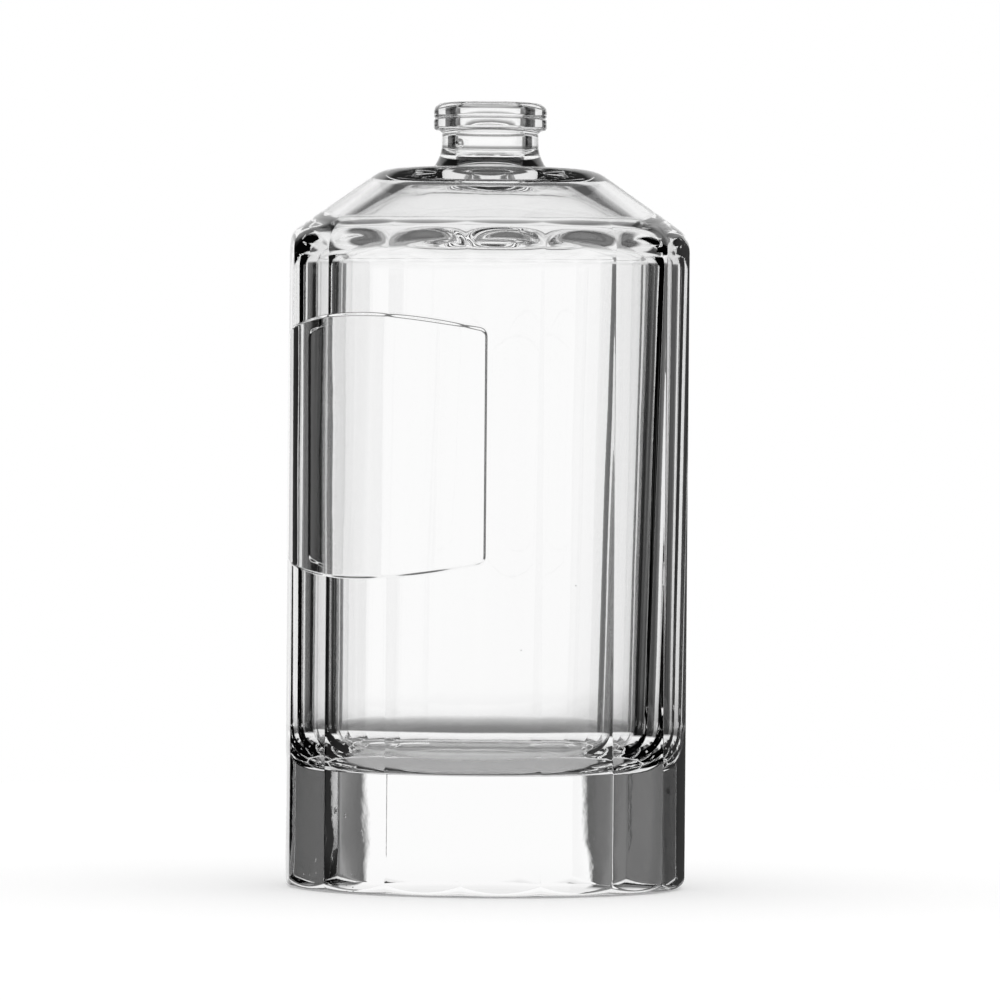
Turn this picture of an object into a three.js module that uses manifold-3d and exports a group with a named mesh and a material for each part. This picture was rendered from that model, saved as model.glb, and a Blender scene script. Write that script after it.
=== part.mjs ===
// Clear glass perfume bottle with a sixteen-sided body, a cone shoulder and a crimp neck.
// It is one blown piece of glass. Millimetres, +Z up, the base's centre on the table at the origin.

import * as THREE from 'three';
import { mergeVertices } from 'three/addons/utils/BufferGeometryUtils.js';
import Module from 'manifold-3d';

// Body: a prism of flat facets, with one facet square to each of the X and Y axes
const FACET_COUNT = 16;
const ACROSS_FLATS = 52.5;
const HEEL_RADIUS = 1.4;

// Underside: a flat ring to stand on, round a shallow domed recess
const STANDING_RING_WIDTH = 4.5;
const PUSH_UP_DEPTH = 1.2;

// Shoulder: a plain cone from the sides to a flat top, with its lower edge rounded most at the corners
const SIDE_HEIGHT = 86.4;
const SHOULDER_ANGLE = THREE.MathUtils.degToRad(35);
const SHOULDER_EDGE_RADIUS = 2.0;
const SHOULDER_CORNER_RADIUS = 4.0;
const SHOULDER_TOP_DIAMETER = 28.2;
const SHOULDER_TOP_RADIUS = 5.0;

// Neck: it flares into the flat top of the shoulder
const NECK_DIAMETER = 12.8;
const NECK_HEIGHT = 5.2;
const NECK_FLARE_HEIGHT = 3.5;
const NECK_FLARE_SPREAD = 1.4;

// Finish: the 15 mm crimp bead, a band and a rounded rim with a shallow groove between
const FINISH_DIAMETER = 15.0;
const FINISH_HEIGHT = 3.6;
const FINISH_UNDERSIDE_FILLET = 0.6;
const BAND_HEIGHT = 1.6;
const BAND_EDGE_RADIUS = 0.4;
const GROOVE_DEPTH = 0.25;
const RIM_EDGE_RADIUS = 1.2;
const BORE_DIAMETER = 9.4;
const BORE_MOUTH_RADIUS = 0.5;

// Cavity: round inside the faceted wall, over a heavy base, with a wall that thickens downwards
const BASE_THICKNESS = 15.2;
const SIDE_WALL_FOOT = 6.4;
const SIDE_WALL_TOP = 5.0;
const CAVITY_HEEL_RADIUS = 6.5;
const SHOULDER_WALL = 4.0;
const CAVITY_EDGE_RADIUS = 5.0;
const CAVITY_TOP_RADIUS = 4.0;
const BORE_FLARE_RADIUS = 2.5;

// Label panel: a smooth curved field over several facets, with arched ends, left of the front
const PANEL_FACETS_FROM_FRONT = 2;
const PANEL_HEIGHT = 34.2;
const PANEL_ARCH_RISE = 2.1;
const PANEL_CENTRE_HEIGHT = 58.1;
const PANEL_HALF_ANGLE = THREE.MathUtils.degToRad(39.75);
const PANEL_CORNER_RADIUS = 0.8;
const PANEL_PROUD = 0.1;

// Fineness of the curved faces
const SEGMENTS_PER_FACET = 4;
const ARC_STEPS = 4;

// Sizes that follow from those above
const FULL_TURN = 2 * Math.PI;
const FACET_ANGLE = FULL_TURN / FACET_COUNT;
const ROUND_SEGMENTS = FACET_COUNT * SEGMENTS_PER_FACET;
const APOTHEM = ACROSS_FLATS / 2;
const CORNER_DISTANCE = APOTHEM / Math.cos(FACET_ANGLE / 2);
const NECK_RADIUS = NECK_DIAMETER / 2;
const FINISH_RADIUS = FINISH_DIAMETER / 2;
const BORE_RADIUS = BORE_DIAMETER / 2;
const CAVITY_FOOT = APOTHEM - SIDE_WALL_FOOT;
const CAVITY_EDGE = APOTHEM - SIDE_WALL_TOP;
const SHOULDER_SLOPE = Math.tan(SHOULDER_ANGLE);
const SHOULDER_TOP_EDGE = SHOULDER_TOP_DIAMETER / 2;
const SHOULDER_TOP_HEIGHT = coneHeight(SHOULDER_TOP_EDGE);
const FINISH_FOOT_HEIGHT = SHOULDER_TOP_HEIGHT + NECK_HEIGHT;
const OVERALL_HEIGHT = FINISH_FOOT_HEIGHT + FINISH_HEIGHT;

// A circular arc as points (radius, height), both ends included
function arc(centreR, centreZ, radius, startAngle, endAngle, steps = ARC_STEPS) {
  const points = [];
  for (let i = 0; i <= steps; i += 1) {
    const angle = startAngle + ((endAngle - startAngle) * i) / steps;
    const r = centreR + radius * Math.cos(angle);
    const z = centreZ + radius * Math.sin(angle);
    points.push(new THREE.Vector2(r, z));
  }
  return points;
}

// Height of the shoulder's cone at a distance from the axis
function coneHeight(r) {
  return SIDE_HEIGHT + (APOTHEM - r) * SHOULDER_SLOPE;
}

// Distance of the facets from the axis in one direction, and how near it is to a corner, 0 to 1
function facetDistance(angle) {
  const fromFacet = angle - FACET_ANGLE * Math.round(angle / FACET_ANGLE);
  return APOTHEM / Math.cos(fromFacet);
}

function cornerShare(angle) {
  const fromFacet = angle - FACET_ANGLE * Math.round(angle / FACET_ANGLE);
  return (2 * Math.abs(fromFacet)) / FACET_ANGLE;
}

// Underside: the dome from the axis to the standing ring
function pushUp() {
  const ringInner = APOTHEM - HEEL_RADIUS - STANDING_RING_WIDTH;
  const domeRadius = (ringInner ** 2 + PUSH_UP_DEPTH ** 2) / (2 * PUSH_UP_DEPTH);
  const halfAngle = Math.asin(ringInner / domeRadius);
  const top = Math.PI / 2;
  return arc(0, PUSH_UP_DEPTH - domeRadius, domeRadius, top, top - halfAngle);
}

// The rounding between the upright side and the shoulder's cone, for one direction
function shoulderEdge(side, radius) {
  const tangentLength = radius * Math.tan((Math.PI / 2 - SHOULDER_ANGLE) / 2);
  const centreZ = coneHeight(side) - tangentLength;
  return arc(side - radius, centreZ, radius, 0, Math.PI / 2 - SHOULDER_ANGLE);
}

// The rounding between the cone and the flat top of the shoulder
function shoulderTop() {
  const startR = SHOULDER_TOP_EDGE - SHOULDER_TOP_RADIUS * Math.tan(SHOULDER_ANGLE / 2);
  const centreZ = SHOULDER_TOP_HEIGHT - SHOULDER_TOP_RADIUS;
  const up = Math.PI / 2;
  return arc(startR, centreZ, SHOULDER_TOP_RADIUS, up - SHOULDER_ANGLE, up);
}

// The neck's concave flare, up from the flat top of the shoulder
function neckFlare() {
  const radius = (NECK_FLARE_HEIGHT ** 2 + NECK_FLARE_SPREAD ** 2) / (2 * NECK_FLARE_SPREAD);
  const turn = Math.atan2(NECK_FLARE_HEIGHT, radius - NECK_FLARE_SPREAD);
  const centreZ = SHOULDER_TOP_HEIGHT + NECK_FLARE_HEIGHT;
  return arc(NECK_RADIUS + radius, centreZ, radius, Math.PI + turn, Math.PI);
}

// The crimp finish: underside, band, groove and rim, up to the sealing land
function finish() {
  const grooveHeight = FINISH_FOOT_HEIGHT + BAND_HEIGHT;
  const bandCentreR = FINISH_RADIUS - BAND_EDGE_RADIUS;
  const grooveTurn = Math.acos(1 - GROOVE_DEPTH / BAND_EDGE_RADIUS);
  const grooveReach = BAND_EDGE_RADIUS * Math.sin(grooveTurn);
  const rimCentreZ = OVERALL_HEIGHT - RIM_EDGE_RADIUS;
  return [
    ...arc(
      NECK_RADIUS + FINISH_UNDERSIDE_FILLET,
      FINISH_FOOT_HEIGHT - FINISH_UNDERSIDE_FILLET,
      FINISH_UNDERSIDE_FILLET,
      Math.PI,
      Math.PI / 2,
    ),
    ...arc(bandCentreR, FINISH_FOOT_HEIGHT + BAND_EDGE_RADIUS, BAND_EDGE_RADIUS, -Math.PI / 2, 0),
    ...arc(bandCentreR, grooveHeight - grooveReach, BAND_EDGE_RADIUS, 0, grooveTurn, 2),
    ...arc(bandCentreR, grooveHeight + grooveReach, BAND_EDGE_RADIUS, -grooveTurn, 0, 2).slice(1),
    ...arc(FINISH_RADIUS - RIM_EDGE_RADIUS, rimCentreZ, RIM_EDGE_RADIUS, 0, Math.PI / 2),
  ];
}

// The whole outline in one direction, from the axis underneath to the axis on top
function outerMeridian(angle) {
  const side = facetDistance(angle);
  const extraRadius = SHOULDER_CORNER_RADIUS - SHOULDER_EDGE_RADIUS;
  const edgeRadius = SHOULDER_EDGE_RADIUS + extraRadius * cornerShare(angle) ** 2;
  return [
    ...pushUp(),
    ...arc(side - HEEL_RADIUS, HEEL_RADIUS, HEEL_RADIUS, -Math.PI / 2, 0),
    ...shoulderEdge(side, edgeRadius),
    ...shoulderTop(),
    ...neckFlare(),
    ...finish(),
    new THREE.Vector2(0, OVERALL_HEIGHT),
  ];
}

// The cavity's outline, from the middle of its floor, up through the bore and out above the rim
function cavityMeridian() {
  const quarter = Math.PI / 2;
  const heelTop = BASE_THICKNESS + CAVITY_HEEL_RADIUS;
  const edgeHeight = coneHeight(CAVITY_EDGE) - SHOULDER_WALL / Math.cos(SHOULDER_ANGLE);
  const edgeTangent = CAVITY_EDGE_RADIUS * Math.tan((quarter - SHOULDER_ANGLE) / 2);
  const edgeFoot = edgeHeight - edgeTangent;
  const taper = Math.atan2(CAVITY_EDGE - CAVITY_FOOT, edgeFoot - heelTop);
  const topHeight = SHOULDER_TOP_HEIGHT - SHOULDER_WALL;
  const topEdge = CAVITY_EDGE - (topHeight - edgeHeight) / SHOULDER_SLOPE;
  const topCentreR = topEdge - CAVITY_TOP_RADIUS * Math.tan(SHOULDER_ANGLE / 2);
  const flareCentreR = BORE_RADIUS + BORE_FLARE_RADIUS;
  const mouthCentreR = BORE_RADIUS + BORE_MOUTH_RADIUS;
  const mouthCentreZ = OVERALL_HEIGHT - BORE_MOUTH_RADIUS;
  return [
    new THREE.Vector2(0, BASE_THICKNESS),
    ...arc(CAVITY_FOOT - CAVITY_HEEL_RADIUS, heelTop, CAVITY_HEEL_RADIUS, -quarter, -taper, 6),
    ...arc(
      CAVITY_EDGE - CAVITY_EDGE_RADIUS,
      edgeFoot,
      CAVITY_EDGE_RADIUS,
      -taper,
      quarter - SHOULDER_ANGLE,
    ),
    ...arc(
      topCentreR,
      topHeight - CAVITY_TOP_RADIUS,
      CAVITY_TOP_RADIUS,
      quarter - SHOULDER_ANGLE,
      quarter,
    ),
    ...arc(
      flareCentreR,
      topHeight + BORE_FLARE_RADIUS,
      BORE_FLARE_RADIUS,
      Math.PI + quarter,
      Math.PI,
    ),
    ...arc(mouthCentreR, mouthCentreZ, BORE_MOUTH_RADIUS, Math.PI, quarter),
    new THREE.Vector2(mouthCentreR, OVERALL_HEIGHT + BORE_MOUTH_RADIUS),
    new THREE.Vector2(0, OVERALL_HEIGHT + BORE_MOUTH_RADIUS),
  ];
}

// A lathe stands along Y: this turns it upright, with its starting direction along +X
function standUp(geometry) {
  return geometry.rotateX(Math.PI / 2).rotateZ(-Math.PI / 2);
}

// Outer body: a lathe whose outline is redrawn for each direction, so that the sides are flat
function outerBody() {
  const geometry = new THREE.LatheGeometry(outerMeridian(0), ROUND_SEGMENTS);
  const position = geometry.attributes.position;
  const pointsPerMeridian = position.count / (ROUND_SEGMENTS + 1);
  for (let segment = 0; segment <= ROUND_SEGMENTS; segment += 1) {
    const angle = (FULL_TURN * (segment % ROUND_SEGMENTS)) / ROUND_SEGMENTS;
    outerMeridian(angle).forEach((point, i) => {
      const x = point.x * Math.sin(angle);
      const z = point.x * Math.cos(angle);
      position.setXYZ(segment * pointsPerMeridian + i, x, point.y, z);
    });
  }
  return standUp(geometry);
}

function cavity() {
  return standUp(new THREE.LatheGeometry(cavityMeridian(), ROUND_SEGMENTS));
}

// Label panel: its outline cut through a round tube that stands just proud of the corners
function panelOutline() {
  const halfWidth = (CORNER_DISTANCE + PANEL_PROUD) * Math.sin(PANEL_HALF_ANGLE);
  const halfEnd = PANEL_HEIGHT / 2 - PANEL_ARCH_RISE;
  const archRadius = (halfWidth ** 2 + PANEL_ARCH_RISE ** 2) / (2 * PANEL_ARCH_RISE);
  const archCentre = PANEL_HEIGHT / 2 - archRadius;
  const straightHalf = halfEnd - PANEL_CORNER_RADIUS;
  const cornerX = halfWidth - PANEL_CORNER_RADIUS;
  const archTurn = Math.atan2(cornerX, straightHalf - archCentre);
  const up = Math.PI / 2;
  const outline = new THREE.Shape();
  outline.absarc(cornerX, -straightHalf, PANEL_CORNER_RADIUS, archTurn - up, 0, false);
  outline.absarc(cornerX, straightHalf, PANEL_CORNER_RADIUS, 0, up - archTurn, false);
  outline.absarc(0, archCentre, archRadius, up - archTurn, up + archTurn, false);
  outline.absarc(-cornerX, straightHalf, PANEL_CORNER_RADIUS, up + archTurn, 2 * up, false);
  outline.absarc(-cornerX, -straightHalf, PANEL_CORNER_RADIUS, 2 * up, 3 * up - archTurn, false);
  outline.absarc(0, -archCentre, archRadius, 3 * up - archTurn, 3 * up + archTurn, false);
  return outline;
}

function panelBlock() {
  const settings = { depth: CORNER_DISTANCE + 1, bevelEnabled: false, curveSegments: 8 };
  const block = new THREE.ExtrudeGeometry(panelOutline(), settings);
  const turn = -PANEL_FACETS_FROM_FRONT * FACET_ANGLE;
  return block.rotateX(Math.PI / 2).rotateZ(turn).translate(0, 0, PANEL_CENTRE_HEIGHT);
}

function panelRound() {
  const radius = CORNER_DISTANCE + PANEL_PROUD;
  const low = PANEL_CENTRE_HEIGHT - PANEL_HEIGHT;
  const high = PANEL_CENTRE_HEIGHT + PANEL_HEIGHT;
  const profile = [
    new THREE.Vector2(0, low),
    new THREE.Vector2(radius, low),
    new THREE.Vector2(radius, high),
    new THREE.Vector2(0, high),
  ];
  return standUp(new THREE.LatheGeometry(profile, ROUND_SEGMENTS));
}

const wasm = await Module();
wasm.setup();

function toSolid(geometry) {
  geometry.deleteAttribute('normal');
  geometry.deleteAttribute('uv');
  const merged = mergeVertices(geometry, 1e-4);
  const vertProperties = new Float32Array(merged.attributes.position.array);
  const triVerts = new Uint32Array(merged.index.array);
  return new wasm.Manifold(new wasm.Mesh({ numProp: 3, vertProperties, triVerts }));
}

function toGeometry(solid) {
  const mesh = solid.getMesh();
  const geometry = new THREE.BufferGeometry();
  geometry.setAttribute('position', new THREE.BufferAttribute(mesh.vertProperties, 3));
  geometry.setIndex(new THREE.BufferAttribute(mesh.triVerts, 1));
  geometry.computeVertexNormals();
  return geometry;
}

function glassBottle() {
  const panel = toSolid(panelBlock()).intersect(toSolid(panelRound()));
  const solid = toSolid(outerBody()).add(panel).subtract(toSolid(cavity()));
  const glass = new THREE.MeshStandardMaterial({
    color: 0xf4f7f7,
    roughness: 0.03,
    metalness: 0,
    transparent: true,
    opacity: 0.35,
  });
  const mesh = new THREE.Mesh(toGeometry(solid), glass);
  mesh.name = 'glass_bottle';
  return mesh;
}

const group = new THREE.Group();
group.add(glassBottle());

export default group;
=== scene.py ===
import math

import bpy
import numpy as np
from mathutils import Matrix, Vector


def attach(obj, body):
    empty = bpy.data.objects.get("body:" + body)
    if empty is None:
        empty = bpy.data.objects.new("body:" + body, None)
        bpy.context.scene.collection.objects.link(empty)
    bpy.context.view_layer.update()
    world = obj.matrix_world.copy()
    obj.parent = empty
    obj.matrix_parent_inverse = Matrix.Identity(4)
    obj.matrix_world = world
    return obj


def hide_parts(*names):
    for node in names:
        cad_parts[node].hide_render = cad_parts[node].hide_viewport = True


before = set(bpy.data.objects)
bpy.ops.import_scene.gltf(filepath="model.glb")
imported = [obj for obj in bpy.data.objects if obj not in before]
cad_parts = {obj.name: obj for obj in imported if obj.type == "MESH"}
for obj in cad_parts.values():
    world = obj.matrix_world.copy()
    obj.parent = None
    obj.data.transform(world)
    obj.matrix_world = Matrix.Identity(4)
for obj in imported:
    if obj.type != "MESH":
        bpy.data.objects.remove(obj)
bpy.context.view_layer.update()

# Camera: a long lens almost level with the middle of the bottle, a little to the left of
# its front and turned a trace about its own line of sight, so that the bottle leans right.
camera_side = math.radians(-4.75)
camera_reach = 0.929
camera_height = 0.0551
camera_dip = math.radians(0.2456)
camera_roll = math.radians(0.48)
camera_slip = 0.0017

camera_data = bpy.data.cameras.new("camera")
camera_data.lens = 252.0
camera_data.sensor_width = 36.0
camera_data.clip_start = 0.01
camera_data.clip_end = 20.0
camera = bpy.data.objects.new("camera", camera_data)
bpy.context.collection.objects.link(camera)
camera_right = Vector((math.cos(camera_side), math.sin(camera_side), 0.0))
camera_place = Vector((math.sin(camera_side), -math.cos(camera_side), 0.0)) * camera_reach
camera_place += camera_right * camera_slip
camera_place.z = camera_height
turn = Matrix.Rotation(camera_side, 4, "Z") @ Matrix.Rotation(math.pi / 2 - camera_dip, 4, "X")
turn = turn @ Matrix.Rotation(camera_roll, 4, "Z")
camera.matrix_world = Matrix.Translation(camera_place) @ turn
bpy.context.scene.camera = camera

# Glass bottle: one blown and fire-polished piece of colourless flint glass, sixteen flat
# facets under a cone shoulder, with a smooth curved label panel, a heavy base and a crimp neck.
MM = 0.001
facet_count = 16
facet_degrees = 360 / facet_count
facet_turn = math.radians(facet_degrees)
apothem = 26.25
corner_rounding = 0.6
facet_bow = 0.05
heel_radius = 1.4
heel_flat_radius = 0.5
ring_width = 4.5
push_up = 1.2
side_height = 86.4
shoulder_angle = math.radians(35)
shoulder_slope = math.tan(shoulder_angle)
edge_radius = 2.0
corner_edge_radius = 4.0
shoulder_top_edge = 14.1
shoulder_top_radius = 5.0
neck_radius = 6.4
neck_height = 5.2
neck_flare_height = 3.5
neck_flare_spread = 1.4
finish_radius = 7.5
finish_height = 3.6
finish_fillet = 0.6
band_height = 1.6
band_edge = 0.4
groove_depth = 0.25
rim_radius = 1.2
bore_radius = 4.7
bore_mouth = 0.5
base_thickness = 15.2
side_wall_foot = 5.6
side_wall_top = 4.4
cavity_heel = 6.0
shoulder_wall = 4.0
cavity_edge = 5.0
cavity_top = 4.0
bore_flare = 2.5
cavity_lean = 0.9
panel_middle = math.radians(-45)
panel_half_angle = math.radians(39.75)
panel_height = 34.2
panel_rise = 2.1
panel_centre = 58.1
panel_corner = 0.8
panel_proud = 0.1
panel_step = 0.45


def cone_height(radius):
    return side_height + (apothem - radius) * shoulder_slope


shoulder_top_height = cone_height(shoulder_top_edge)
finish_foot = shoulder_top_height + neck_height
overall_height = finish_foot + finish_height
panel_radius = apothem / math.cos(facet_turn / 2) + panel_proud


# Directions round the bottle, close together at the rounded corners and the panel's ends
def directions():
    from_corner = [0, 0.14, 0.3, 0.7, 1.6, 3.2, 5.2, 7.2, 9.2, facet_degrees / 2]
    inside_end = [-1.2, -0.8, -0.5, -0.3, -0.15, 0, 0.15, 0.3, 0.5, 0.8, 1.2, 1.6, 2.0, 2.5]
    smallest_step = 0.07
    angles = []
    for k in range(facet_count):
        corner = facet_degrees / 2 + facet_degrees * k
        angles += [corner + t for t in from_corner]
        angles += [corner + facet_degrees - t for t in from_corner[1:-1]]
    for end in (-1, 1):
        edge = math.degrees(panel_middle) + end * math.degrees(panel_half_angle)
        angles += [edge - end * inside for inside in inside_end]
    angles = np.sort(np.mod(np.array(angles), 360.0))
    keep = np.concatenate(([True], np.diff(angles) > smallest_step))
    return np.radians(angles[keep])


around = directions()
from_facet = around - facet_turn * np.round(around / facet_turn)
corner_share = 2 * np.abs(from_facet) / facet_turn


# Distance of the flat sides from the axis: flats with a slight bow, and rounded corners between
def side_distance():
    half = facet_turn / 2
    flat = apothem / np.cos(from_facet) - facet_bow * (corner_share ** 2)
    from_corner = half - np.abs(from_facet)
    centre = (apothem - corner_rounding) / math.cos(half)
    inside = np.maximum(corner_rounding ** 2 - (centre * np.sin(from_corner)) ** 2, 0)
    rounded = centre * np.cos(from_corner) + np.sqrt(inside) - facet_bow
    tangent = np.abs(np.tan(from_facet)) * apothem > (apothem - corner_rounding) * math.tan(half)
    return np.where(tangent, rounded, flat)


side = side_distance()
level = np.ones_like(around)
rows = []


# A row is one ring of points; its shift carries a ring of the cavity sideways
def add_row(radius, height, shift=0.0):
    rows.append((radius * level, height * level, shift))


def add_arc(centre_r, centre_z, radius, start, end, steps):
    for i in range(steps + 1):
        angle = start + (end - start) * i / steps
        add_row(centre_r + radius * np.cos(angle), centre_z + radius * np.sin(angle))


# Underside: a domed recess inside a flat standing ring, then the small heel
quarter = math.pi / 2
ring_inner = apothem - heel_radius - ring_width
dome = (ring_inner ** 2 + push_up ** 2) / (2 * push_up)
for share in (0.08, 0.2, 0.35, 0.5, 0.65, 0.8, 0.92, 1.0):
    radius = ring_inner * share
    add_row(radius, push_up - dome + math.sqrt(dome ** 2 - radius ** 2))
for share in (0.15, 0.5, 0.85):
    add_row(ring_inner + (side - heel_radius - ring_inner) * share, 0.0)
heel_here = heel_flat_radius + (heel_radius - heel_flat_radius) * corner_share ** 2
add_arc(side - heel_here, heel_here, heel_here, -quarter, 0, 8)

# Upright side with the label panel: its rows follow the panel's arched ends
half_width = panel_radius * math.sin(panel_half_angle)
arch_radius = (half_width ** 2 + panel_rise ** 2) / (2 * panel_rise)
from_middle = np.mod(around - panel_middle + math.pi, 2 * math.pi) - math.pi
across = panel_radius * np.sin(np.minimum(np.abs(from_middle), panel_half_angle))
arch = panel_height / 2 - arch_radius + np.sqrt(arch_radius ** 2 - across ** 2)
round_here = edge_radius + (corner_edge_radius - edge_radius) * corner_share ** 2
edge_tangent = round_here * math.tan((quarter - shoulder_angle) / 2)
side_top = cone_height(side) - edge_tangent
outside_edge = 1.2
inside_edge = 1.3
edge_offsets = [outside_edge, 0.8, 0.5, 0.32, 0.2, 0.1, 0]
edge_offsets += [-0.1, -0.2, -0.32, -0.5, -0.7, -0.9, -inside_edge]


def panel_mask(height):
    end_inside = arch - np.abs(height - panel_centre)
    side_inside = (panel_half_angle - np.abs(from_middle)) * panel_radius
    depth = np.minimum(end_inside, side_inside)
    in_corner = (end_inside < panel_corner) & (side_inside < panel_corner)
    reach = np.hypot(panel_corner - end_inside, panel_corner - side_inside)
    depth = np.where(in_corner, panel_corner - reach, depth)
    share = np.clip(depth / panel_step + 0.5, 0, 1)
    return share * share * (3 - 2 * share)


def add_side_row(height):
    add_row(side + (panel_radius - side) * panel_mask(height), height)


panel_low = panel_centre - arch
panel_high = panel_centre + arch
for i in range(1, 10):
    add_side_row(heel_radius + (panel_low - outside_edge - heel_radius) * i / 10)
for offset in edge_offsets:
    add_side_row(panel_low - offset)
for i in range(1, 12):
    add_side_row(panel_low + inside_edge + (panel_high - panel_low - 2 * inside_edge) * i / 12)
for offset in reversed(edge_offsets):
    add_side_row(panel_high + offset)
for i in range(1, 8):
    add_side_row(panel_high + outside_edge + (side_top - panel_high - outside_edge) * i / 8)

# Shoulder: its edge is rounded most at the corners, then a cone and a flat top
add_arc(side - round_here, side_top, round_here, 0, quarter - shoulder_angle, 10)
cone_start = side - round_here + round_here * math.cos(quarter - shoulder_angle)
top_start = shoulder_top_edge - shoulder_top_radius * math.tan(shoulder_angle / 2)
cone_end = top_start + shoulder_top_radius * math.sin(shoulder_angle)
for share in (0.1, 0.25, 0.45, 0.65, 0.85):
    radius = cone_start + (cone_end - cone_start) * share
    add_row(radius, cone_height(radius))
add_arc(
    top_start,
    shoulder_top_height - shoulder_top_radius,
    shoulder_top_radius,
    quarter - shoulder_angle,
    quarter,
    8,
)

# Neck and crimp finish: flare, underside, band, groove, rounded rim and bore
flare_radius = (neck_flare_height ** 2 + neck_flare_spread ** 2) / (2 * neck_flare_spread)
flare_turn = math.atan2(neck_flare_height, flare_radius - neck_flare_spread)
add_arc(
    neck_radius + flare_radius,
    shoulder_top_height + neck_flare_height,
    flare_radius,
    math.pi + flare_turn,
    math.pi,
    8,
)
band_centre = finish_radius - band_edge
groove_height = finish_foot + band_height
groove_turn = math.acos(1 - groove_depth / band_edge)
groove_reach = band_edge * math.sin(groove_turn)
add_arc(
    neck_radius + finish_fillet,
    finish_foot - finish_fillet,
    finish_fillet,
    math.pi,
    quarter,
    5,
)
add_arc(band_centre, finish_foot + band_edge, band_edge, -quarter, 0, 5)
add_arc(band_centre, groove_height - groove_reach, band_edge, 0, groove_turn, 4)
add_arc(band_centre, groove_height + groove_reach, band_edge, -groove_turn, 0, 4)
add_arc(finish_radius - rim_radius, overall_height - rim_radius, rim_radius, 0, quarter, 10)
add_arc(
    bore_radius + bore_mouth,
    overall_height - bore_mouth,
    bore_mouth,
    quarter,
    math.pi,
    6,
)

# Cavity: down the bore and round under the shoulder to the heavy base, leaning a little
cavity_foot_radius = apothem - side_wall_foot
cavity_edge_radius = apothem - side_wall_top
cavity_edge_height = cone_height(cavity_edge_radius) - shoulder_wall / math.cos(shoulder_angle)
cavity_edge_foot = cavity_edge_height - cavity_edge * math.tan((quarter - shoulder_angle) / 2)
heel_top = base_thickness + cavity_heel
taper = math.atan2(cavity_edge_radius - cavity_foot_radius, cavity_edge_foot - heel_top)
cavity_top_height = shoulder_top_height - shoulder_wall
top_edge = cavity_edge_radius - (cavity_top_height - cavity_edge_height) / shoulder_slope
bore_end = cavity_top_height + bore_flare
bore_start = overall_height - bore_mouth
for i in range(1, 4):
    add_row(bore_radius, bore_start - (bore_start - bore_end) * i / 4)
add_arc(
    bore_radius + bore_flare,
    bore_end,
    bore_flare,
    math.pi,
    math.pi + quarter,
    8,
)
add_arc(
    top_edge - cavity_top * math.tan(shoulder_angle / 2),
    cavity_top_height - cavity_top,
    cavity_top,
    quarter,
    quarter - shoulder_angle,
    6,
)


def lean(height):
    share = (cavity_edge_height - height) / (cavity_edge_height - heel_top)
    return cavity_lean * np.clip(share, 0, 1)


def add_cavity_arc(centre_r, centre_z, radius, start, end, steps):
    for i in range(steps + 1):
        angle = start + (end - start) * i / steps
        height = centre_z + radius * math.sin(angle)
        add_row(centre_r + radius * math.cos(angle), height, lean(height))


add_cavity_arc(
    cavity_edge_radius - cavity_edge,
    cavity_edge_foot,
    cavity_edge,
    quarter - shoulder_angle,
    -taper,
    10,
)
for i in range(1, 12):
    share = i / 12
    height = cavity_edge_foot + (heel_top - cavity_edge_foot) * share
    radius = cavity_edge_radius + (cavity_foot_radius - cavity_edge_radius) * share
    add_row(radius, height, lean(height))
add_cavity_arc(cavity_foot_radius - cavity_heel, heel_top, cavity_heel, -taper, -quarter, 12)
floor_radius = cavity_foot_radius - cavity_heel
for share in (0.8, 0.6, 0.4, 0.2, 0.08):
    add_row(floor_radius * share, base_thickness, lean(base_thickness))


def bottle_mesh():
    count = len(around)
    left = -np.array([math.cos(camera_side), math.sin(camera_side)])
    points = []
    for radius, height, shift in rows:
        x = radius * np.sin(around) + shift * left[0]
        y = -radius * np.cos(around) + shift * left[1]
        points.append(np.stack([x, y, height], axis=1))
    points = np.concatenate(points)
    last = lean(base_thickness) * left
    poles = np.array([[0, 0, push_up], [last[0], last[1], base_thickness]])
    points = np.concatenate([points, poles]) * MM
    faces = []
    for i in range(len(rows) - 1):
        for j in range(count):
            k = (j + 1) % count
            here, above = i * count, (i + 1) * count
            faces.append((here + j, here + k, above + k, above + j))
    low = len(rows) * count
    top_row = (len(rows) - 1) * count
    for j in range(count):
        k = (j + 1) % count
        faces.append((low, k, j))
        faces.append((low + 1, top_row + j, top_row + k))
    mesh = bpy.data.meshes.new("bottle_glass")
    mesh.from_pydata([tuple(p) for p in points], [], faces)
    mesh.validate()
    mesh.shade_smooth()
    return mesh


bottle = bpy.data.objects.new("bottle_glass", bottle_mesh())
bpy.context.collection.objects.link(bottle)

glass = bpy.data.materials.new("flint_glass")
glass.use_nodes = True
nodes = glass.node_tree.nodes
links = glass.node_tree.links
nodes.clear()
glass_out = nodes.new("ShaderNodeOutputMaterial")
glass_shader = nodes.new("ShaderNodeBsdfPrincipled")
glass_shader.inputs["Base Color"].default_value = (1.0, 1.0, 1.0, 1.0)
glass_shader.inputs["Metallic"].default_value = 0.0
glass_shader.inputs["Roughness"].default_value = 0.0
glass_shader.inputs["IOR"].default_value = 1.52
glass_shader.inputs["Transmission Weight"].default_value = 1.0
place = nodes.new("ShaderNodeTexCoord")
draw = nodes.new("ShaderNodeMapping")
draw.inputs["Scale"].default_value = (1.0, 1.0, 0.3)
links.new(place.outputs["Object"], draw.inputs["Vector"])
waves = nodes.new("ShaderNodeTexNoise")
waves.inputs["Scale"].default_value = 90.0
waves.inputs["Detail"].default_value = 1.5
links.new(draw.outputs["Vector"], waves.inputs["Vector"])
pits = nodes.new("ShaderNodeTexNoise")
pits.inputs["Scale"].default_value = 900.0
pits.inputs["Detail"].default_value = 3.0
links.new(place.outputs["Object"], pits.inputs["Vector"])
wave_bump = nodes.new("ShaderNodeBump")
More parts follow.
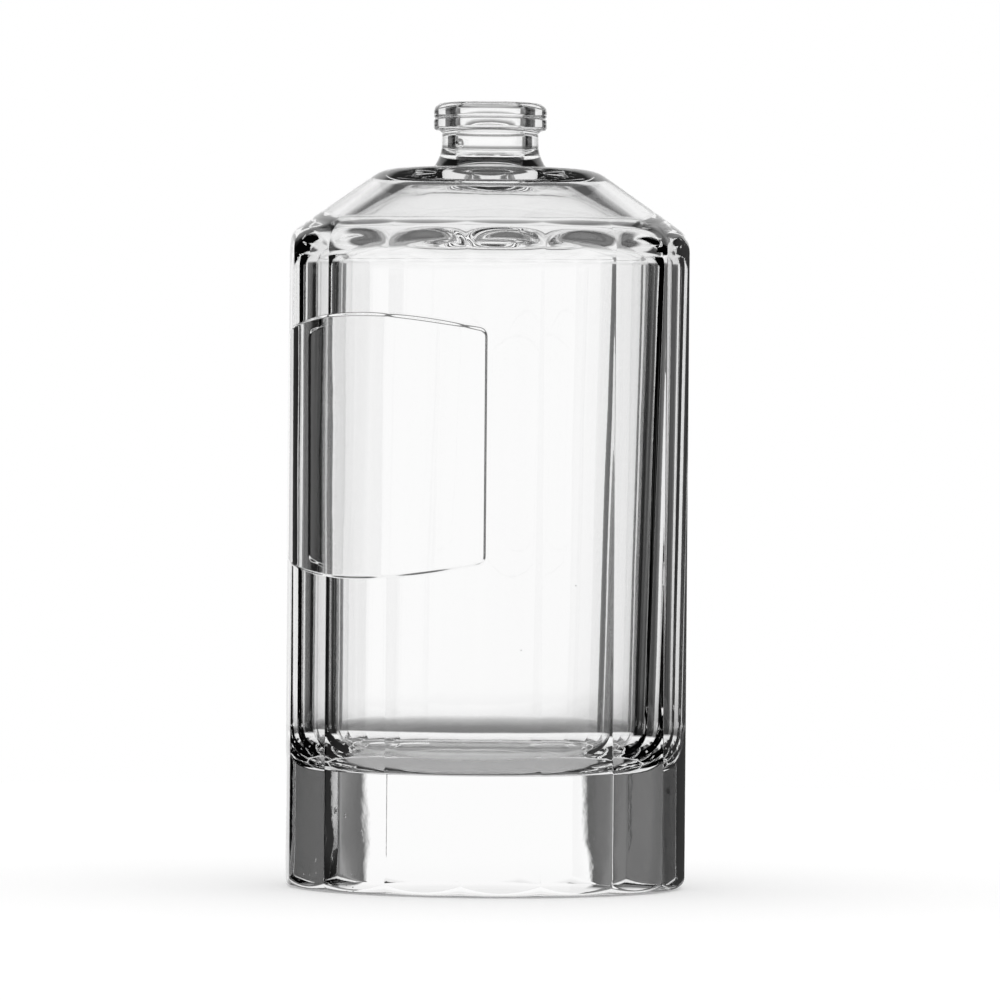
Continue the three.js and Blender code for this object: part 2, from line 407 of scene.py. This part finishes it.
wave_bump.inputs["Strength"].default_value = 1.0
wave_bump.inputs["Distance"].default_value = 0.00008
links.new(waves.outputs["Fac"], wave_bump.inputs["Height"])
pit_bump = nodes.new("ShaderNodeBump")
pit_bump.inputs["Strength"].default_value = 1.0
pit_bump.inputs["Distance"].default_value = 0.0000015
links.new(pits.outputs["Fac"], pit_bump.inputs["Height"])
links.new(wave_bump.outputs["Normal"], pit_bump.inputs["Normal"])
links.new(pit_bump.outputs["Normal"], glass_shader.inputs["Normal"])
smear = nodes.new("ShaderNodeMapRange")
smear.inputs["From Min"].default_value = 0.55
smear.inputs["From Max"].default_value = 0.8
smear.inputs["To Min"].default_value = 0.0
smear.inputs["To Max"].default_value = 0.03
links.new(waves.outputs["Fac"], smear.inputs["Value"])
links.new(smear.outputs["Result"], glass_shader.inputs["Roughness"])
links.new(glass_shader.outputs["BSDF"], glass_out.inputs["Surface"])
bottle.data.materials.append(glass)
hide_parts("glass_bottle")
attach(bottle, "root")

# Seeds: the small gas bubbles that stayed in the glass when it was gathered and blown. One large
# round one sits in the neck, a few lie in the heavy base and the finest are close to the heel.
seed_spots = [
    (461.6, 144.0, 5.55, 0.6, 1.15),
    (341.0, 812.0, 25.3, 0.24, 2.2),
    (350.0, 817.0, 25.4, 0.2, 1.5),
    (366.0, 832.0, 25.4, 0.14, 1.2),
    (322.6, 861.5, 25.2, 0.22, 1.3),
    (313.0, 875.0, 24.6, 0.15, 0.8),
    (319.0, 876.0, 24.6, 0.13, 0.8),
    (325.0, 874.0, 24.7, 0.14, 0.8),
    (350.0, 876.0, 24.6, 0.13, 0.7),
    (357.0, 875.0, 24.8, 0.15, 0.7),
    (362.0, 877.0, 24.6, 0.12, 0.7),
    (354.0, 886.0, 24.2, 0.13, 0.7),
    (360.0, 888.0, 24.3, 0.12, 0.7),
    (590.0, 838.0, 25.0, 0.08, 1.2),
    (597.0, 846.0, 25.2, 0.07, 1.2),
    (603.0, 820.0, 24.8, 0.07, 1.2),
    (520.0, 650.0, 24.2, 0.07, 1.0),
    (571.0, 585.0, 24.0, 0.08, 1.0),
]


# Each seed: column and row in the picture, distance from the bottle's axis, radius, stretch.
# The picture's scale is in mm for each pixel at the axis, which leans a little to the left.
pixel_size = 0.1327
axis_top_row = 115.0
axis_top_column = 490.4
axis_lean = 0.00843
level_row = 470.0
level_height = 55.1
camera_distance = 929.0


def seed_place(column, row, from_axis):
    axis_column = axis_top_column - (row - axis_top_row) * axis_lean
    right = (column - axis_column) * pixel_size
    front = math.sqrt(from_axis ** 2 - right ** 2)
    scale = pixel_size * (camera_distance - front) / camera_distance
    height = level_height - (row - level_row) * scale
    x = right * math.cos(camera_side) + front * math.sin(camera_side)
    y = right * math.sin(camera_side) - front * math.cos(camera_side)
    return (x * MM, y * MM, height * MM)


seed_points = bpy.data.meshes.new("seed_points")
seed_points.from_pydata([seed_place(*spot[:3]) for spot in seed_spots], [], [])
seed_size = seed_points.attributes.new("seed_size", "FLOAT", "POINT")
seed_size.data.foreach_set("value", [spot[3] * MM for spot in seed_spots])
seed_stretch = seed_points.attributes.new("seed_stretch", "FLOAT", "POINT")
seed_stretch.data.foreach_set("value", [spot[4] for spot in seed_spots])
seeds = bpy.data.objects.new("glass_seeds", seed_points)
bpy.context.collection.objects.link(seeds)

seed_tree = bpy.data.node_groups.new("glass_seeds", "GeometryNodeTree")
sockets = seed_tree.interface
sockets.new_socket("Points", in_out="INPUT", socket_type="NodeSocketGeometry")
fineness_socket = sockets.new_socket("Fineness", in_out="INPUT", socket_type="NodeSocketInt")
fineness_socket.default_value = 3
glass_socket = sockets.new_socket("Glass", in_out="INPUT", socket_type="NodeSocketMaterial")
sockets.new_socket("Seeds", in_out="OUTPUT", socket_type="NodeSocketGeometry")
nodes = seed_tree.nodes
links = seed_tree.links
seed_in = nodes.new("NodeGroupInput")
seed_out = nodes.new("NodeGroupOutput")
ball = nodes.new("GeometryNodeMeshIcoSphere")
ball.inputs["Radius"].default_value = 1.0
links.new(seed_in.outputs["Fineness"], ball.inputs["Subdivisions"])
flip = nodes.new("GeometryNodeFlipFaces")
links.new(ball.outputs["Mesh"], flip.inputs["Mesh"])
size_value = nodes.new("GeometryNodeInputNamedAttribute")
size_value.data_type = "FLOAT"
size_value.inputs["Name"].default_value = "seed_size"
stretch_value = nodes.new("GeometryNodeInputNamedAttribute")
stretch_value.data_type = "FLOAT"
stretch_value.inputs["Name"].default_value = "seed_stretch"
tall = nodes.new("ShaderNodeMath")
tall.operation = "MULTIPLY"
links.new(size_value.outputs["Attribute"], tall.inputs[0])
links.new(stretch_value.outputs["Attribute"], tall.inputs[1])
shape = nodes.new("ShaderNodeCombineXYZ")
links.new(size_value.outputs["Attribute"], shape.inputs["X"])
links.new(size_value.outputs["Attribute"], shape.inputs["Y"])
links.new(tall.outputs[0], shape.inputs["Z"])
scatter = nodes.new("GeometryNodeInstanceOnPoints")
links.new(seed_in.outputs["Points"], scatter.inputs["Points"])
links.new(flip.outputs["Mesh"], scatter.inputs["Instance"])
links.new(shape.outputs["Vector"], scatter.inputs["Scale"])
smooth = nodes.new("GeometryNodeSetShadeSmooth")
links.new(scatter.outputs["Instances"], smooth.inputs["Geometry"])
realize = nodes.new("GeometryNodeRealizeInstances")
links.new(smooth.outputs["Geometry"], realize.inputs["Geometry"])
finish_seeds = nodes.new("GeometryNodeSetMaterial")
links.new(realize.outputs["Geometry"], finish_seeds.inputs["Geometry"])
links.new(seed_in.outputs["Glass"], finish_seeds.inputs["Material"])
links.new(finish_seeds.outputs["Geometry"], seed_out.inputs["Seeds"])

seed_maker = seeds.modifiers.new("glass_seeds", "NODES")
seed_maker.node_group = seed_tree
seed_maker[fineness_socket.identifier] = 3
seed_maker[glass_socket.identifier] = glass
bpy.context.view_layer.update()
seeds_made = seeds.evaluated_get(bpy.context.evaluated_depsgraph_get())
made = bpy.data.meshes.new_from_object(seeds_made)
seeds.modifiers.remove(seed_maker)
seeds.data = made
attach(seeds, "root")

# Floor: a plain pale sheet of paper under the bottle. It shows white to the camera and keeps the
# soft shadow under the base. Where the glass shows it at a low angle, the surround takes over.
floor_reach = 0.3
floor_drop = 0.0002
floor_sides = 120
floor_points = []
for k in range(floor_sides):
    angle = math.radians(360 / floor_sides * k)
    floor_points.append((floor_reach * math.cos(angle), floor_reach * math.sin(angle), -floor_drop))
floor_mesh = bpy.data.meshes.new("floor")
floor_mesh.from_pydata(floor_points, [], [tuple(range(floor_sides))])
floor = bpy.data.objects.new("floor", floor_mesh)
bpy.context.collection.objects.link(floor)
paper = bpy.data.materials.new("white_paper")
paper.use_nodes = True
nodes = paper.node_tree.nodes
links = paper.node_tree.links
nodes.clear()
paper_out = nodes.new("ShaderNodeOutputMaterial")
paper_diffuse = nodes.new("ShaderNodeBsdfDiffuse")
paper_diffuse.inputs["Color"].default_value = (0.8, 0.8, 0.8, 1.0)
paper_glow = nodes.new("ShaderNodeEmission")
paper_add = nodes.new("ShaderNodeAddShader")
paper_path = nodes.new("ShaderNodeLightPath")
paper_seen = nodes.new("ShaderNodeMath")
paper_seen.operation = "SUBTRACT"
paper_seen.inputs[0].default_value = 1.0
links.new(paper_path.outputs["Is Diffuse Ray"], paper_seen.inputs[1])
paper_level = nodes.new("ShaderNodeMath")
paper_level.operation = "MULTIPLY"
paper_level.inputs[1].default_value = 0.25
links.new(paper_seen.outputs[0], paper_level.inputs[0])
links.new(paper_level.outputs[0], paper_glow.inputs["Strength"])
links.new(paper_diffuse.outputs[0], paper_add.inputs[0])
links.new(paper_glow.outputs[0], paper_add.inputs[1])
paper_facing = nodes.new("ShaderNodeLayerWeight")
paper_facing.inputs["Blend"].default_value = 0.5
paper_graze = nodes.new("ShaderNodeMapRange")
full_paper = math.radians(23)
no_paper = math.radians(18)
paper_graze.inputs["From Min"].default_value = 1 - math.sin(full_paper)
paper_graze.inputs["From Max"].default_value = 1 - math.sin(no_paper)
links.new(paper_facing.outputs["Facing"], paper_graze.inputs["Value"])
paper_through = nodes.new("ShaderNodeMath")
paper_through.operation = "MAXIMUM"
links.new(paper_path.outputs["Is Glossy Ray"], paper_through.inputs[0])
links.new(paper_path.outputs["Is Transmission Ray"], paper_through.inputs[1])
paper_open = nodes.new("ShaderNodeMath")
paper_open.operation = "MULTIPLY"
links.new(paper_through.outputs[0], paper_open.inputs[0])
links.new(paper_graze.outputs[0], paper_open.inputs[1])
paper_clear = nodes.new("ShaderNodeBsdfTransparent")
paper_mix = nodes.new("ShaderNodeMixShader")
links.new(paper_open.outputs[0], paper_mix.inputs[0])
links.new(paper_add.outputs[0], paper_mix.inputs[1])
links.new(paper_clear.outputs[0], paper_mix.inputs[2])
links.new(paper_mix.outputs[0], paper_out.inputs["Surface"])
floor.data.materials.append(paper)

# Studio: an even white surround lights the bottle. What the glass itself shows is a bright window
# behind it, dark flags on both sides that draw its edges, and a dim table below the window.
world = bpy.data.worlds.new("studio")
bpy.context.scene.world = world
world.use_nodes = True
nodes = world.node_tree.nodes
links = world.node_tree.links
nodes.clear()


def world_math(operation, first, second=None, third=None):
    node = nodes.new("ShaderNodeMath")
    node.operation = operation
    for i, value in enumerate((first, second, third)):
        if value is None:
            continue
        if isinstance(value, (int, float)):
            node.inputs[i].default_value = value
        else:
            links.new(value, node.inputs[i])
    return node.outputs[0]


def world_range(value, low, high):
    node = nodes.new("ShaderNodeMapRange")
    node.inputs["From Min"].default_value = low
    node.inputs["From Max"].default_value = high
    links.new(value, node.inputs["Value"])
    return node.outputs["Result"]


def world_mix(share, first, level):
    node = nodes.new("ShaderNodeMix")
    node.data_type = "RGBA"
    links.new(share, node.inputs[0])
    links.new(first, node.inputs[6])
    node.inputs[7].default_value = (level, level, level, 1)
    return node.outputs[2]


# Shades by angle, for angles from minus reach to reach in degrees
def world_shades(angle, reach, stops):
    node = nodes.new("ShaderNodeValToRGB")
    elements = node.color_ramp.elements
    while len(elements) < len(stops):
        elements.new(0.5)
    for element, (degrees, shade) in zip(elements, stops):
        element.position = 0.5 + 0.5 * degrees / reach
        element.color = (shade, shade, shade, 1)
    links.new(world_math("MULTIPLY_ADD", angle, 0.5 / reach, 0.5), node.inputs[0])
    return node.outputs["Color"]


direction = nodes.new("ShaderNodeTexCoord").outputs["Generated"]
split = nodes.new("ShaderNodeSeparateXYZ")
links.new(direction, split.inputs[0])
bearing = world_math("ARCTAN2", split.outputs["X"], split.outputs["Y"])
bearing = world_math("SUBTRACT", bearing, -camera_side)
bearing = world_math("MULTIPLY", bearing, 180 / math.pi)
climb = world_math("ARCSINE", split.outputs["Z"])
climb = world_math("MULTIPLY", climb, 180 / math.pi)

flag_shades = [
    (-49.8, 0.012),
    (-48.5, 0.075),
    (-44, 0.1),
    (-27.5, 0.17),
    (-26.8, 0.17),
    (-26.4, 0.065),
    (25.8, 0.09),
    (26.6, 0.3),
    (28, 0.15),
    (33, 0.13),
    (36, 0.07),
    (46, 0.1),
    (54, 0.012),
]
height_shades = [
    (-90, 0.22),
    (-30, 0.22),
    (-16.5, 0.18),
    (-12.5, 0.22),
    (-10.5, 0.3),
    (-7.5, 0.48),
    (-6, 0.7),
    (-4.5, 0.95),
    (-3.8, 1.0),
    (27, 1.0),
    (33, 0.12),
    (90, 0.12),
]
window_level = 0.98
white_level = 0.9
flag_end = (95, 100)
flag_top = (8, 13)
left_edge = world_range(bearing, -25.9, -25.6)
right_edge = world_range(bearing, 25.35, 25.05)
surround = world_shades(bearing, 64, flag_shades)
surround = world_mix(world_math("MULTIPLY", left_edge, right_edge), surround, window_level)
aside = world_math("ABSOLUTE", bearing)
surround = world_mix(world_range(aside, *flag_end), surround, white_level)
surround = world_mix(world_range(climb, *flag_top), surround, white_level)
seen_light = nodes.new("ShaderNodeBackground")
links.new(surround, seen_light.inputs["Color"])
links.new(world_shades(climb, 90, height_shades), seen_light.inputs["Strength"])
plain_light = nodes.new("ShaderNodeBackground")
plain_light.inputs["Color"].default_value = (1, 1, 1, 1)
plain_light.inputs["Strength"].default_value = 1.0
path = nodes.new("ShaderNodeLightPath")
through = world_math("ADD", path.outputs["Is Glossy Ray"], path.outputs["Is Transmission Ray"])
through = world_math("MINIMUM", through, 1.0)
blend = nodes.new("ShaderNodeMixShader")
links.new(through, blend.inputs[0])
links.new(plain_light.outputs[0], blend.inputs[1])
links.new(seen_light.outputs[0], blend.inputs[2])
world_out = nodes.new("ShaderNodeOutputWorld")
links.new(blend.outputs[0], world_out.inputs["Surface"])

bpy.context.scene.view_settings.view_transform = "Standard"
